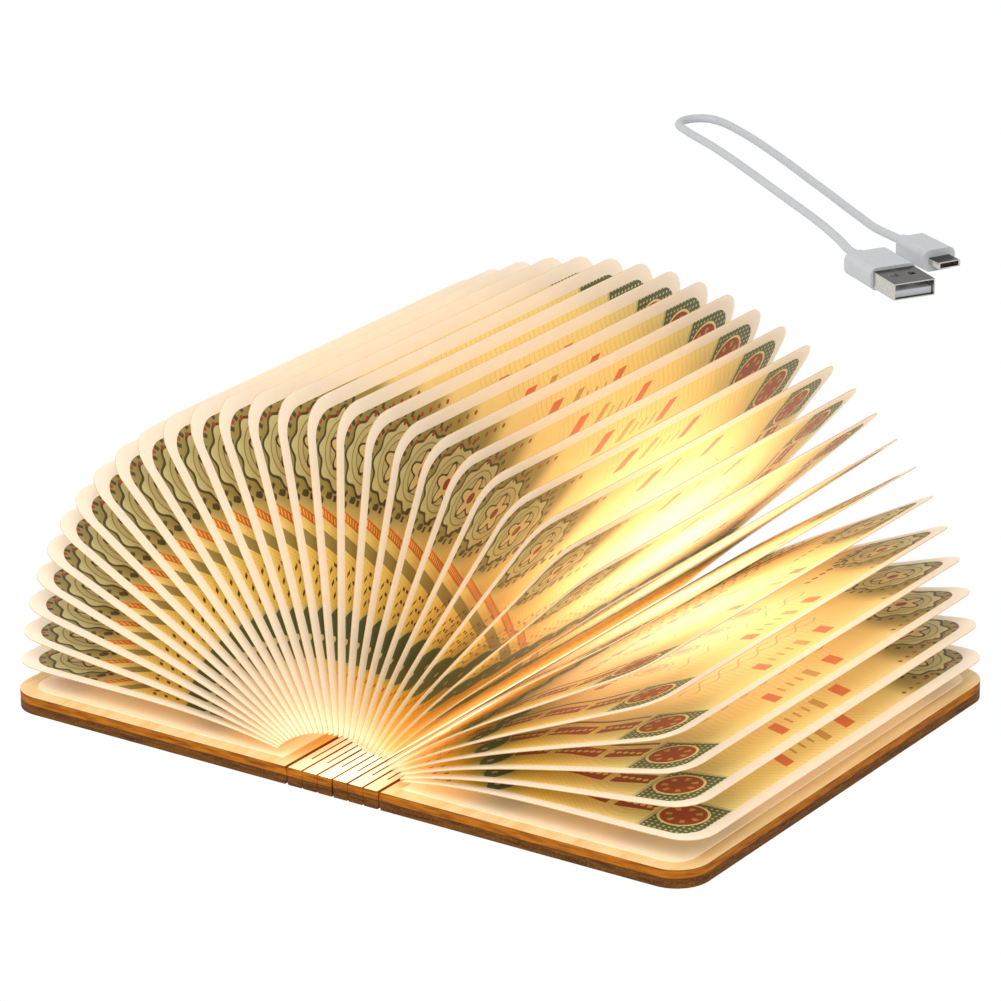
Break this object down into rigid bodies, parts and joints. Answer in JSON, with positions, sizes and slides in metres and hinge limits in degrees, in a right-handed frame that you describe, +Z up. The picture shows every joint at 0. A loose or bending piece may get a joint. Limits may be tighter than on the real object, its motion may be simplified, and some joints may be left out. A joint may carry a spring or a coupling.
{
  "type": "folding book lamp",
  "caption": "Book-shaped lamp lying open: plywood covers on a living-hinge spine, a fan of printed leaves lit by a light bar, with its charging lead.",
  "frame": {"origin": "on the table, under the middle of the spine", "axes": "+X to the right cover, +Y along the spine towards the charging socket, +Z up; the book lies open flat"},
  "size_m": [0.2847, 0.4522, 0.0836],
  "materials": {
    "leaf_card": "matt, printed on both faces",
    "plywood": "laser-cut three-ply, burnt edges",
    "endpaper": "matt",
    "magnet": "nickel plated",
    "tray_plastic": "moulded",
    "diffuser": "translucent, lit",
    "led_board": "white solder mask",
    "led_chip": "phosphor",
    "battery_foil": "foil pouch",
    "circuit_board": "solder mask",
    "sensor_body": "moulded",
    "plug_metal": "stamped, nickel plated",
    "lead_plastic": "soft satin"
  },
  "bodies": {
    "spine_centre": {"spine_slat_3": "plywood", "spine_slat_4": "plywood", "bar_tray": "tray_plastic", "diffuser": "diffuser", "end_caps": "tray_plastic", "led_board": "led_board", "led_chips": "led_chip", "battery": "battery_foil", "charge_board": "circuit_board", "hall_sensor": "sensor_body", "charge_socket": "plug_metal", "cable": "lead_plastic", "usb_a_plug": "lead_plastic", "usb_a_shell": "plug_metal", "micro_plug": "lead_plastic", "micro_shell": "plug_metal"},
    "right_cover": {"right_cover": "plywood", "right_endpaper": "endpaper", "right_magnets": "magnet"},
    "left_cover": {"left_cover": "plywood", "left_endpaper": "endpaper", "left_magnets": "magnet"},
    "right_inner_slat": {"spine_slat_5": "plywood"},
    "right_outer_slat": {"spine_slat_6": "plywood"},
    "left_inner_slat": {"spine_slat_2": "plywood"},
    "left_outer_slat": {"spine_slat_1": "plywood"},
    "leaf_01": {"leaf_01": "leaf_card"},
    "leaf_02": {"leaf_02": "leaf_card"},
    "leaf_03": {"leaf_03": "leaf_card"},
    "leaf_04": {"leaf_04": "leaf_card"},
    "leaf_05": {"leaf_05": "leaf_card"},
    "leaf_06": {"leaf_06": "leaf_card"},
    "leaf_07": {"leaf_07": "leaf_card"},
    "leaf_08": {"leaf_08": "leaf_card"},
    "leaf_09": {"leaf_09": "leaf_card"},
    "leaf_10": {"leaf_10": "leaf_card"},
    "leaf_11": {"leaf_11": "leaf_card"},
    "leaf_12": {"leaf_12": "leaf_card"},
    "leaf_13": {"leaf_13": "leaf_card"},
    "leaf_14": {"leaf_14": "leaf_card"},
    "leaf_15": {"leaf_15": "leaf_card"},
    "leaf_16": {"leaf_16": "leaf_card"},
    "leaf_17": {"leaf_17": "leaf_card"},
    "leaf_18": {"leaf_18": "leaf_card"},
    "leaf_19": {"leaf_19": "leaf_card"},
    "leaf_20": {"leaf_20": "leaf_card"},
    "leaf_21": {"leaf_21": "leaf_card"},
    "leaf_22": {"leaf_22": "leaf_card"},
    "leaf_23": {"leaf_23": "leaf_card"},
    "leaf_24": {"leaf_24": "leaf_card"},
    "leaf_25": {"leaf_25": "leaf_card"},
    "leaf_26": {"leaf_26": "leaf_card"},
    "leaf_27": {"leaf_27": "leaf_card"},
    "leaf_28": {"leaf_28": "leaf_card"},
    "leaf_29": {"leaf_29": "leaf_card"},
    "leaf_30": {"leaf_30": "leaf_card"},
    "leaf_31": {"leaf_31": "leaf_card"},
    "leaf_32": {"leaf_32": "leaf_card"},
    "leaf_33": {"leaf_33": "leaf_card"},
    "leaf_34": {"leaf_34": "leaf_card"}
  },
  "joints": [
    {"name": "right_cover_turn", "type": "hinge", "parent": "spine_centre", "child": "right_cover", "pos_m": [0.00767, 0, 0.0034], "axis": [0, -1, 0], "range_deg": [0, 90]},
    {"name": "right_inner_fold", "type": "hinge", "parent": "spine_centre", "child": "right_inner_slat", "pos_m": [0.00383, 0, 0.002], "axis": [0, -1, 0], "range_deg": [0, 30]},
    {"name": "right_outer_fold", "type": "hinge", "parent": "right_inner_slat", "child": "right_outer_slat", "pos_m": [0.00767, 0, 0.002], "axis": [0, -1, 0], "range_deg": [0, 30]},
    {"name": "left_cover_turn", "type": "hinge", "parent": "spine_centre", "child": "left_cover", "pos_m": [-0.00767, 0, 0.0034], "axis": [0, 1, 0], "range_deg": [0, 90]},
    {"name": "left_inner_fold", "type": "hinge", "parent": "spine_centre", "child": "left_inner_slat", "pos_m": [-0.00383, 0, 0.002], "axis": [0, 1, 0], "range_deg": [0, 30]},
    {"name": "left_outer_fold", "type": "hinge", "parent": "left_inner_slat", "child": "left_outer_slat", "pos_m": [-0.00767, 0, 0.002], "axis": [0, 1, 0], "range_deg": [0, 30]},
    {"name": "leaf_01_turn", "type": "hinge", "parent": "spine_centre", "child": "leaf_01", "pos_m": [-0.00877, 0, 0.0032], "axis": [0, 1, 0], "range_deg": [0, 87.29]},
    {"name": "leaf_02_turn", "type": "hinge", "parent": "spine_centre", "child": "leaf_02", "pos_m": [-0.00824, 0, 0.0032], "axis": [0, 1, 0], "range_deg": [0, 82.05]},
    {"name": "leaf_03_turn", "type": "hinge", "parent": "spine_centre", "child": "leaf_03", "pos_m": [-0.00771, 0, 0.0032], "axis": [0, 1, 0], "range_deg": [0, 76.75]},
    {"name": "leaf_04_turn", "type": "hinge", "parent": "spine_centre", "child": "leaf_04", "pos_m": [-0.00717, 0, 0.0032], "axis": [0, 1, 0], "range_deg": [0, 71.38]},
    {"name": "leaf_05_turn", "type": "hinge", "parent": "spine_centre", "child": "leaf_05", "pos_m": [-0.00664, 0, 0.0032], "axis": [0, 1, 0], "range_deg": [0, 65.95]},
    {"name": "leaf_06_turn", "type": "hinge", "parent": "spine_centre", "child": "leaf_06", "pos_m": [-0.00611, 0, 0.0032], "axis": [0, 1, 0], "range_deg": [0, 60.44]},
    {"name": "leaf_07_turn", "type": "hinge", "parent": "spine_centre", "child": "leaf_07", "pos_m": [-0.00558, 0, 0.0032], "axis": [0, 1, 0], "range_deg": [0, 54.86]},
    {"name": "leaf_08_turn", "type": "hinge", "parent": "spine_centre", "child": "leaf_08", "pos_m": [-0.00505, 0, 0.0032], "axis": [0, 1, 0], "range_deg": [0, 49.22]},
    {"name": "leaf_09_turn", "type": "hinge", "parent": "spine_centre", "child": "leaf_09", "pos_m": [-0.00452, 0, 0.0032], "axis": [0, 1, 0], "range_deg": [0, 43.54]},
    {"name": "leaf_10_turn", "type": "hinge", "parent": "spine_centre", "child": "leaf_10", "pos_m": [-0.00399, 0, 0.0032], "axis": [0, 1, 0], "range_deg": [0, 37.83]},
    {"name": "leaf_11_turn", "type": "hinge", "parent": "spine_centre", "child": "leaf_11", "pos_m": [-0.00345, 0, 0.0032], "axis": [0, 1, 0], "range_deg": [0, 32.11]},
    {"name": "leaf_12_turn", "type": "hinge", "parent": "spine_centre", "child": "leaf_12", "pos_m": [-0.00292, 0, 0.0032], "axis": [0, 1, 0], "range_deg": [0, 26.41]},
    {"name": "leaf_13_turn", "type": "hinge", "parent": "spine_centre", "child": "leaf_13", "pos_m": [-0.00239, 0, 0.0032], "axis": [0, 1, 0], "range_deg": [0, 20.76]},
    {"name": "leaf_14_turn", "type": "hinge", "parent": "spine_centre", "child": "leaf_14", "pos_m": [-0.00186, 0, 0.0032], "axis": [0, 1, 0], "range_deg": [0, 15.18]},
    {"name": "leaf_15_turn", "type": "hinge", "parent": "spine_centre", "child": "leaf_15", "pos_m": [-0.00133, 0, 0.0032], "axis": [0, 1, 0], "range_deg": [0, 9.68]},
    {"name": "leaf_16_turn", "type": "hinge", "parent": "spine_centre", "child": "leaf_16", "pos_m": [-0.0008, 0, 0.0032], "axis": [0, 1, 0], "range_deg": [0, 4.29]},
    {"name": "leaf_17_turn", "type": "hinge", "parent": "spine_centre", "child": "leaf_17", "pos_m": [-0.00027, 0, 0.0032], "axis": [0, -1, 0], "range_deg": [0, 1]},
    {"name": "leaf_18_turn", "type": "hinge", "parent": "spine_centre", "child": "leaf_18", "pos_m": [0.00027, 0, 0.0032], "axis": [0, -1, 0], "range_deg": [0, 6.17]},
    {"name": "leaf_19_turn", "type": "hinge", "parent": "spine_centre", "child": "leaf_19", "pos_m": [0.0008, 0, 0.0032], "axis": [0, -1, 0], "range_deg": [0, 11.23]},
    {"name": "leaf_20_turn", "type": "hinge", "parent": "spine_centre", "child": "leaf_20", "pos_m": [0.00133, 0, 0.0032], "axis": [0, -1, 0], "range_deg": [0, 16.2]},
    {"name": "leaf_21_turn", "type": "hinge", "parent": "spine_centre", "child": "leaf_21", "pos_m": [0.00186, 0, 0.0032], "axis": [0, -1, 0], "range_deg": [0, 21.08]},
    {"name": "leaf_22_turn", "type": "hinge", "parent": "spine_centre", "child": "leaf_22", "pos_m": [0.00239, 0, 0.0032], "axis": [0, -1, 0], "range_deg": [0, 25.9]},
    {"name": "leaf_23_turn", "type": "hinge", "parent": "spine_centre", "child": "leaf_23", "pos_m": [0.00292, 0, 0.0032], "axis": [0, -1, 0], "range_deg": [0, 30.7]},
    {"name": "leaf_24_turn", "type": "hinge", "parent": "spine_centre", "child": "leaf_24", "pos_m": [0.00345, 0, 0.0032], "axis": [0, -1, 0], "range_deg": [0, 35.48]},
    {"name": "leaf_25_turn", "type": "hinge", "parent": "spine_centre", "child": "leaf_25", "pos_m": [0.00399, 0, 0.0032], "axis": [0, -1, 0], "range_deg": [0, 40.29]},
    {"name": "leaf_26_turn", "type": "hinge", "parent": "spine_centre", "child": "leaf_26", "pos_m": [0.00452, 0, 0.0032], "axis": [0, -1, 0], "range_deg": [0, 45.15]},
    {"name": "leaf_27_turn", "type": "hinge", "parent": "spine_centre", "child": "leaf_27", "pos_m": [0.00505, 0, 0.0032], "axis": [0, -1, 0], "range_deg": [0, 50.08]},
    {"name": "leaf_28_turn", "type": "hinge", "parent": "spine_centre", "child": "leaf_28", "pos_m": [0.00558, 0, 0.0032], "axis": [0, -1, 0], "range_deg": [0, 55.09]},
    {"name": "leaf_29_turn", "type": "hinge", "parent": "spine_centre", "child": "leaf_29", "pos_m": [0.00611, 0, 0.0032], "axis": [0, -1, 0], "range_deg": [0, 60.2]},
    {"name": "leaf_30_turn", "type": "hinge", "parent": "spine_centre", "child": "leaf_30", "pos_m": [0.00664, 0, 0.0032], "axis": [0, -1, 0], "range_deg": [0, 65.41]},
    {"name": "leaf_31_turn", "type": "hinge", "parent": "spine_centre", "child": "leaf_31", "pos_m": [0.00717, 0, 0.0032], "axis": [0, -1, 0], "range_deg": [0, 70.71]},
    {"name": "leaf_32_turn", "type": "hinge", "parent": "spine_centre", "child": "leaf_32", "pos_m": [0.00771, 0, 0.0032], "axis": [0, -1, 0], "range_deg": [0, 76.09]},
    {"name": "leaf_33_turn", "type": "hinge", "parent": "spine_centre", "child": "leaf_33", "pos_m": [0.00824, 0, 0.0032], "axis": [0, -1, 0], "range_deg": [0, 81.53]},
    {"name": "leaf_34_turn", "type": "hinge", "parent": "spine_centre", "child": "leaf_34", "pos_m": [0.00877, 0, 0.0032], "axis": [0, -1, 0], "range_deg": [0, 87.01]}
  ],
  "couplings": [
    {"joint": "right_inner_fold", "follows": "right_cover_turn", "ratio": 0.33333},
    {"joint": "right_outer_fold", "follows": "right_cover_turn", "ratio": 0.33333},
    {"joint": "left_inner_fold", "follows": "left_cover_turn", "ratio": 0.33333},
    {"joint": "left_outer_fold", "follows": "left_cover_turn", "ratio": 0.33333},
    {"joint": "leaf_01_turn", "follows": "left_cover_turn", "ratio": 0.96989},
    {"joint": "leaf_02_turn", "follows": "left_cover_turn", "ratio": 0.9116},
    {"joint": "leaf_03_turn", "follows": "left_cover_turn", "ratio": 0.85272},
    {"joint": "leaf_04_turn", "follows": "left_cover_turn", "ratio": 0.79313},
    {"joint": "leaf_05_turn", "follows": "left_cover_turn", "ratio": 0.73275},
    {"joint": "leaf_06_turn", "follows": "left_cover_turn", "ratio": 0.67155},
    {"joint": "leaf_07_turn", "follows": "left_cover_turn", "ratio": 0.60957},
    {"joint": "leaf_08_turn", "follows": "left_cover_turn", "ratio": 0.5469},
    {"joint": "leaf_09_turn", "follows": "left_cover_turn", "ratio": 0.48373},
    {"joint": "leaf_10_turn", "follows": "left_cover_turn", "ratio": 0.42026},
    {"joint": "leaf_11_turn", "follows": "left_cover_turn", "ratio": 0.35674},
    {"joint": "leaf_12_turn", "follows": "left_cover_turn", "ratio": 0.29345},
    {"joint": "leaf_13_turn", "follows": "left_cover_turn", "ratio": 0.23065},
    {"joint": "leaf_14_turn", "follows": "left_cover_turn", "ratio": 0.16861},
    {"joint": "leaf_15_turn", "follows": "left_cover_turn", "ratio": 0.10753},
    {"joint": "leaf_16_turn", "follows": "left_cover_turn", "ratio": 0.047585},
    {"joint": "leaf_17_turn", "follows": "right_cover_turn", "ratio": 0.011121},
    {"joint": "leaf_18_turn", "follows": "right_cover_turn", "ratio": 0.068566},
    {"joint": "leaf_19_turn", "follows": "right_cover_turn", "ratio": 0.1248},
    {"joint": "leaf_20_turn", "follows": "right_cover_turn", "ratio": 0.17994},
    {"joint": "leaf_21_turn", "follows": "right_cover_turn", "ratio": 0.23419},
    {"joint": "leaf_22_turn", "follows": "right_cover_turn", "ratio": 0.2878},
    {"joint": "leaf_23_turn", "follows": "right_cover_turn", "ratio": 0.34105},
    {"joint": "leaf_24_turn", "follows": "right_cover_turn", "ratio": 0.39424},
    {"joint": "leaf_25_turn", "follows": "right_cover_turn", "ratio": 0.44769},
    {"joint": "leaf_26_turn", "follows": "right_cover_turn", "ratio": 0.50167},
    {"joint": "leaf_27_turn", "follows": "right_cover_turn", "ratio": 0.55642},
    {"joint": "leaf_28_turn", "follows": "right_cover_turn", "ratio": 0.61213},
    {"joint": "leaf_29_turn", "follows": "right_cover_turn", "ratio": 0.6689},
    {"joint": "leaf_30_turn", "follows": "right_cover_turn", "ratio": 0.72676},
    {"joint": "leaf_31_turn", "follows": "right_cover_turn", "ratio": 0.78565},
    {"joint": "leaf_32_turn", "follows": "right_cover_turn", "ratio": 0.84544},
    {"joint": "leaf_33_turn", "follows": "right_cover_turn", "ratio": 0.90591},
    {"joint": "leaf_34_turn", "follows": "right_cover_turn", "ratio": 0.96679}
  ]
}
